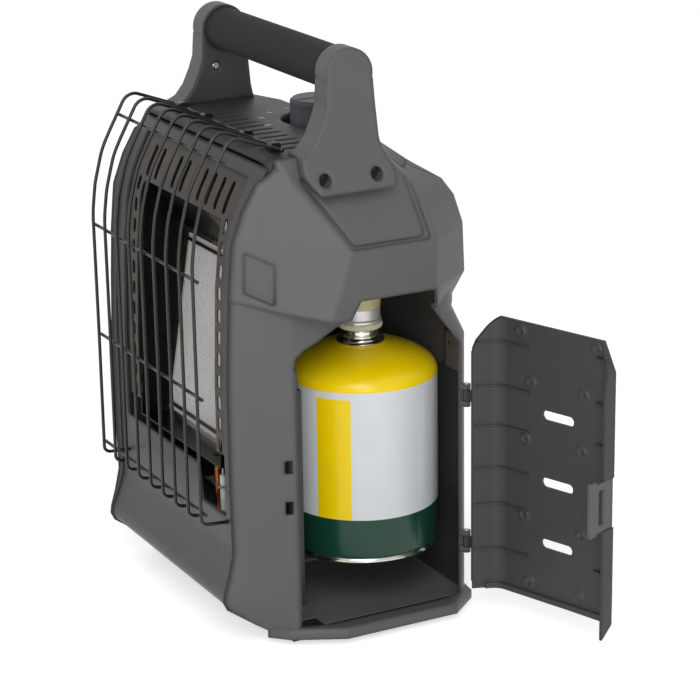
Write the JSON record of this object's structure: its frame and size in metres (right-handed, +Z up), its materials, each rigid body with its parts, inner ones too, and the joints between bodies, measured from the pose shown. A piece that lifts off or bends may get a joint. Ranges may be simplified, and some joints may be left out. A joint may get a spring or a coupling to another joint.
{
  "type": "portable_gas_cabinet_heater",
  "caption": "Portable gas cabinet heater in dark grey plastic with a wire guard over a tilted ceramic burner, a carrying handle, a top knob and a side door over its gas cartridge.",
  "frame": {"origin": "floor level, under the middle of the cabinet between its side walls and on the axis plane of the front frame's width", "axes": "+Z up, -Y towards the burner front, +X towards the side with the cartridge door"},
  "size_m": [0.3644, 0.2393, 0.412],
  "materials": {
    "aluminium": "turned aluminium",
    "beige_metal": "beige cast metal",
    "black_plastic": "black moulded plastic",
    "black_sheet": "black painted sheet metal",
    "brass": "plain brass",
    "bright_sheet": "polished steel sheet",
    "can_paint": "glossy printed tinplate, plain colour blocks",
    "ceramic": "cream perforated ceramic",
    "copper": "plain copper pipe",
    "cream_plastic": "cream plastic",
    "foam_black": "soft black foam sleeve",
    "frame_grey": "dark grey painted sheet, satin",
    "knob_grey": "grey moulded plastic",
    "rubber_black": "black rubber",
    "shell_grey": "fine grained dark grey moulded plastic",
    "steel": "plain steel",
    "vent_steel": "heat tarnished dark steel sheet",
    "white_ceramic": "white glazed insulator",
    "wire_black": "black coated steel wire"
  },
  "bodies": {
    "cabinet": {"base_tray": "black_plastic", "burner_box": "bright_sheet", "burner_pipe": "copper", "burner_rim": "bright_sheet", "burner_stand": "black_sheet", "ceramic_plaque": "ceramic", "compartment_liner": "black_sheet", "connector_tube": "aluminium", "cover_screws": "steel", "feet": "rubber_black", "front_frame": "frame_grey", "gas_jet": "brass", "gas_valve_body": "brass", "guard_clips": "wire_black", "guard_cross_wires": "wire_black", "guard_wires": "wire_black", "handle_grip": "foam_black", "handle_screws": "steel", "handle_support_left": "shell_grey", "handle_support_right": "shell_grey", "handle_tube": "steel", "handle_tube_screws": "steel", "hinge_pins": "steel", "igniter_electrode": "white_ceramic", "knob_spring": "steel", "left_side_shell": "shell_grey", "lower_shelf": "black_sheet", "mixing_tube": "steel", "pilot_bracket": "bright_sheet", "plaque_clips": "steel", "rear_cover": "shell_grey", "reflector": "bright_sheet", "regulator_body": "beige_metal", "regulator_neck": "beige_metal", "regulator_nut": "steel", "regulator_pipe": "copper", "right_side_shell": "shell_grey", "seal_ring": "cream_plastic", "thermocouple": "copper", "tilt_switch": "black_plastic", "top_panel": "frame_grey", "valve_bonnet": "steel", "vent_panel": "vent_steel"},
    "door": {"door_panel": "shell_grey", "latch_pin": "steel"},
    "latch": {"door_latch": "shell_grey"},
    "valve_rotor": {"valve_rotor": "brass"},
    "knob": {"control_knob": "knob_grey", "valve_stem": "steel"},
    "gasket": {"cartridge_gasket": "rubber_black"},
    "cartridge": {"cartridge": "can_paint", "cartridge_valve": "brass"}
  },
  "joints": [
    {"name": "door_hinge", "type": "hinge", "parent": "cabinet", "child": "door", "pos_m": [0.1133, 0.0882, 0.05], "axis": [0, 0, 1], "range_deg": [-109.4, 20]},
    {"name": "latch_flex", "type": "hinge", "parent": "door", "child": "latch", "pos_m": [0.22838, 0.13201, 0.111], "axis": [0, 0, -1], "range_deg": [0, 10], "stiffness_Nm_per_rad": 0.3},
    {"name": "knob_turn", "type": "hinge", "parent": "cabinet", "child": "valve_rotor", "pos_m": [0, 0.035, 0.31], "axis": [0, 0, 1], "range_deg": [0, 180]},
    {"name": "knob_push", "type": "slide", "parent": "valve_rotor", "child": "knob", "axis": [0, 0, -1], "range_m": [0, 0.005], "stiffness_N_per_m": 900, "deforming": ["knob_spring"]},
    {"name": "cartridge_lower", "type": "slide", "parent": "cabinet", "child": "gasket", "axis": [0, 0, -1], "range_m": [0, 0.0073]},
    {"name": "cartridge_unscrew", "type": "hinge", "parent": "gasket", "child": "cartridge", "pos_m": [0.0575, 0.035, 0.1], "axis": [0, 0, -1], "range_deg": [0, 2880]}
  ],
  "couplings": [
    {"joint": "cartridge_lower", "follows": "cartridge_unscrew", "m_per_rad": 0.00014435}
  ]
}
